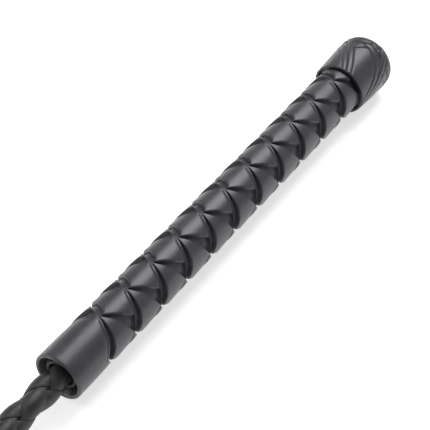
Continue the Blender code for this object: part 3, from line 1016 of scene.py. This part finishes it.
@dataclass
class Tongue:
    """Leather tongue: two leaves sewn over a filler, bound to the rod's end with thread."""

    axis: Axis
    thickness: float = 0.0014
    channel: float = 0.0024
    stitch_length: float = 0.0032
    stitch_width: float = 0.0007
    channel_depth: float = 0.00022
    channel_spread: float = 0.0004
    edge_round: float = 0.0005
    waviness: float = 0.00010
    filler_inset: float = 0.0006
    filler_thickness: float = 0.0016
    binding_radius: float = 0.00515
    binding_thread: float = 0.0007
    bend_reach: float = 0.004

    def __post_init__(self) -> None:
        """Take the places from the frame."""
        low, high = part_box("upper_leaf_root")
        self.root_x, self.bend_x = high[0], low[0]
        self.root_half = 0.0036
        self.bound = high[2] - self.axis.height - 0.5 * self.thickness
        low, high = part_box("upper_leaf_blade")
        self.tip_x, self.blade_x, self.half = low[0], high[0], high[1]
        self.shut = high[2] - self.axis.height - 0.5 * self.thickness
        self.bend_half = 0.0085
        self.narrow_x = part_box("rod_tip_cap")[0][0] - 0.0004

    def half_width(self, x: Array) -> Array:
        """Half width of a leaf: narrow where bound, swelling to the blade, round at its end."""
        straight = self.blade_x - (self.tip_x + self.half)
        share = np.clip((self.blade_x - x) / straight, 0.0, 1.0)
        blade = self.bend_half + (self.half - self.bend_half) * np.sin(0.5 * math.pi * share)
        past = np.clip((self.tip_x + self.half - x) / self.half, 0.0, 1.0)
        blade = np.where(past > 0.0, self.half * np.sqrt(1.0 - past ** 2), blade)
        neck = self.root_half + (self.bend_half - self.root_half) * smooth(
            (self.narrow_x - x) / (self.narrow_x - self.blade_x))
        return np.where(x > self.blade_x, neck, blade)

    def middle(self, x: Array) -> Array:
        """Height of a leaf's middle from the axis: apart round the rod, together past its tip."""
        share = smooth((self.narrow_x - x) / (self.narrow_x - self.bend_x - 0.0015))
        return self.bound + (self.shut - self.bound) * share

    def build_leaf(self, name: str, side: float, inset: float = 0.0,
                   thickness: float | None = None) -> Piece:
        """One leaf: a strap with rounded edges, carried along the tongue's outline.

        Across the leaf, the section is a rounded rectangle. Its outer face has a shallow sewing
        channel, a dip shaped like a bell a fixed distance in from the edge.

        Args:
            name: The piece's name.
            side: 1 for the upper leaf, -1 for the lower one, 0 for the filler.
            inset: How far its edge stays inside the tongue's outline.
            thickness: Its thickness, or None for a leaf's own.

        Returns:
            The new object.
        """
        thick = self.thickness if thickness is None else thickness
        start = self.root_x if side else self.blade_x
        share = np.linspace(0.0, 1.0, 150)[:, None]
        tip = self.tip_x + inset
        x = start + (tip - start) * np.sin(0.5 * math.pi * share) ** 0.9
        half = np.maximum(self.half_width(np.maximum(x - inset, self.tip_x)) - inset, 0.00002)
        turn = full_turn(72)[None, :]
        cosine, sine = np.cos(turn), np.sin(turn)
        width_part = np.sign(cosine) * np.abs(cosine) ** 0.35
        across = width_part * half
        edge = half - np.abs(across)
        bulge = np.clip(edge / self.edge_round, 0.0, 1.0)
        face = np.sign(sine) * np.minimum(np.abs(sine) ** 0.4, 0.35 + 0.65 * np.sqrt(bulge))
        height = side * self.middle(x) + 0.5 * thick * face
        outer = (face * side > 0.5) & (x < self.blade_x - 0.004)
        dip = np.exp(-((edge - self.channel) / self.channel_spread) ** 2)
        height = height - side * outer * self.channel_depth * dip
        wave = np.sin(x * 160.0) * np.cos(across * 120.0)
        height = height + self.waviness * wave * np.abs(side)
        points = np.stack([x + 0.0 * across, across, self.axis.height + height], axis=-1)
        count = turn.size
        last = (len(x) - 1) * count
        return mesh_piece(name, points, grid_quads(len(x), count, wrap_columns=True),
                          caps=[np.arange(count), last + np.arange(count)], crease=50.0)

    def seam(self) -> Array:
        """Places of the stitches: an even walk along the channel, round the blade.

        Returns:
            Rows of x, y and the direction along the seam.
        """
        inner = self.tip_x + self.channel
        share = np.linspace(0.0, 1.0, 1200)
        x = (self.blade_x - 0.005) + (inner - self.blade_x + 0.005) * np.sin(0.5 * math.pi * share)
        y = np.maximum(self.half_width(np.maximum(x - self.channel * share ** 6, self.tip_x))
                       - self.channel, 0.0)
        y[-1] = 0.0
        path = np.concatenate([np.stack([x, y], -1), np.stack([x[::-1], -y[::-1]], -1)[1:]])
        length = np.concatenate([[0.0], np.cumsum(np.hypot(*np.diff(path, axis=0).T))])
        count = int(length[-1] / self.stitch_length)
        at = (np.arange(count) + 0.5) * length[-1] / count
        ahead, behind = at + 0.0004, at - 0.0004
        dx = np.interp(ahead, length, path[:, 0]) - np.interp(behind, length, path[:, 0])
        dy = np.interp(ahead, length, path[:, 1]) - np.interp(behind, length, path[:, 1])
        return np.stack([np.interp(at, length, path[:, 0]), np.interp(at, length, path[:, 1]),
                         np.arctan2(dy, dx)], axis=-1)

    def build_stitches(self) -> Piece:
        """Stitches on both faces: short round-ended threads that bow out of the channel."""
        seam = self.seam()
        run = np.linspace(0.0, math.pi, 9)[None, :, None]
        turn = full_turn(8)[None, None, :]
        along = -0.42 * self.stitch_length * np.cos(run) + 0.0 * turn
        girth = 0.5 * self.stitch_width * np.sin(run) ** 0.7 + 0.00002
        side_way, up = girth * np.cos(turn), girth * np.sin(turn) + 0.00015 * np.sin(run)
        points, quads, strips, offset = [], [], [], 0
        face_z = self.shut + 0.5 * self.thickness - self.channel_depth
        for side in (1.0, -1.0):
            x, y, heading = (seam[:, k, None, None] for k in range(3))
            px = x + along * np.cos(heading) - side_way * np.sin(heading)
            py = y + along * np.sin(heading) + side_way * np.cos(heading)
            pz = self.axis.height + side * (face_z + up) + 0.0 * px
            points.append(np.stack([px, py, pz], axis=-1).reshape(-1, 3))
            each = grid_quads(run.size, turn.size, wrap_columns=True)
            step = np.arange(len(seam))[:, None, None] * run.size * turn.size
            quads.append((each[None] + step + offset).reshape(-1, 4))
            strip = np.stack(np.broadcast_arrays(along + 0.0 * px, turn * girth), axis=-1)
            strips.append(strip.reshape(-1, 2))
            offset += len(points[-1])
        ends = np.arange(offset).reshape(-1, run.size, turn.size)[:, [0, -1]].reshape(-1, turn.size)
        return mesh_piece("stitching", np.concatenate(points), np.concatenate(quads),
                          strip=np.concatenate(strips), caps=list(ends), crease=60.0)

    def build(self, rack: Rack) -> None:
        """Build and dress the leaves, the filler, the stitches and the binding."""
        for name, side in (("upper", 1.0), ("lower", -1.0)):
            leaf = self.build_leaf(f"{name}_leaf", side)
            rack.dress(leaf, Finish.LEATHER)
            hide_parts(f"{name}_leaf_root", f"{name}_leaf_blade")
            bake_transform(leaf)
        filler = self.build_leaf("filler", 0.0, self.filler_inset, self.filler_thickness)
        rack.dress(filler, Finish.LEATHER)
        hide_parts("leaf_filler")
        stitches = self.build_stitches()
        rack.dress(stitches, Finish.THREAD)
        for piece in (filler, stitches):
            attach(piece, TONGUE)
        low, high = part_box("tongue_binding")
        binding = self.axis.winding("binding", low[0], high[0],
                                    lambda x: self.binding_radius + 0.0 * x, self.binding_thread)
        rack.dress(binding, Finish.THREAD)
        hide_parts("tongue_binding")
        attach(binding, CROP)


# --- studio


@dataclass
class Studio:
    """White table, soft lights, and a camera that looks down along the handle."""

    axis: Axis
    distance: float = 0.5960
    off_line: float = math.radians(55.05)
    elevation: float = math.radians(45.32)
    roll: float = math.radians(-0.21)
    aim_above: float = 0.00072
    lens: float = 125.6
    sensor: float = 36.0
    view_x: float = 0.0
    key_place: Triple = (0.69, 0.13, 0.97)
    back_place: Triple = (-0.42, 0.85, 0.40)
    surround: float = 0.4
    table_half: float = 2.5
    table_points: int = 41
    table_dish: float = 0.0002

    def add_floor(self) -> None:
        """A wide table top, very gently dished so that it isn't a plain sheet."""
        reach = np.linspace(-self.table_half, self.table_half, self.table_points)
        x, y = np.meshgrid(reach, reach, indexing="ij")
        points = np.stack([x, y, -self.table_dish * (x ** 2 + y ** 2)], axis=-1)
        floor = mesh_piece("table", points, grid_quads(self.table_points, self.table_points))
        if floor.data.polygons[0].normal.z < 0.0:
            floor.data.flip_normals()
        floor.data.materials.append(PaleFloor().make())

    def add_light(self, name: str, place: Triple, size: float, watts: float) -> None:
        """A square soft light, placed from and pointed at the middle of the handle."""
        lamp = bpy.data.lights.new(name, "AREA")
        lamp.size, lamp.energy = size, watts
        item = bpy.data.objects.new(name, lamp)
        place = (self.view_x + place[0], place[1], place[2])
        item.location = place
        aim = Vector((self.view_x, 0.0, self.axis.height)) - Vector(place)
        item.rotation_euler = aim.to_track_quat("-Z", "Y").to_euler()
        bpy.context.collection.objects.link(item)

    def add_camera(self) -> None:
        """Camera at its distance, turned off the handle's line and raised above the table."""
        ahead = Vector((math.sin(self.off_line), math.cos(self.off_line), 0.0))
        look = ahead * math.cos(self.elevation) - Vector((0.0, 0.0, math.sin(self.elevation)))
        camera = bpy.data.cameras.new("camera")
        camera.lens, camera.sensor_width = self.lens, self.sensor
        camera.clip_start = 0.01
        item = bpy.data.objects.new("camera", camera)
        aim = Vector((self.view_x, 0.0, self.axis.height + self.aim_above))
        item.location = aim - look * self.distance
        turn = look.to_track_quat("-Z", "Y") @ Quaternion((0.0, 0.0, 1.0), self.roll)
        item.rotation_euler = turn.to_euler()
        bpy.context.collection.objects.link(item)
        bpy.context.scene.camera = item

    def build(self) -> None:
        """Set the table, the lights, the surroundings and the camera."""
        self.add_floor()
        self.add_light("key", self.key_place, 0.7, 10.0)
        self.add_light("back", self.back_place, 0.4, 3.0)
        world = bpy.data.worlds.new("studio")
        world.use_nodes = True
        world.node_tree.nodes["Background"].inputs["Color"].default_value = (1.0, 1.0, 1.0, 1.0)
        world.node_tree.nodes["Background"].inputs["Strength"].default_value = self.surround
        bpy.context.scene.world = world
        bpy.context.scene.view_settings.view_transform = "Standard"
        self.add_camera()


def main() -> None:
    """Build the crop from the handle to the tongue, then the studio round it."""
    logging.basicConfig(level=logging.INFO, format="%(name)s %(message)s")
    low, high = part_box("core_rod")
    axis = Axis(0.5 * (low[2] + high[2]))
    rack = Rack()
    handle = Handle(axis)
    handle.build(rack)
    Plait(axis).build(rack)
    Tongue(axis).build(rack)
    Studio(axis, view_x=handle.first_node + VIEW_AHEAD).build()


if __name__ == "__main__":
    main()
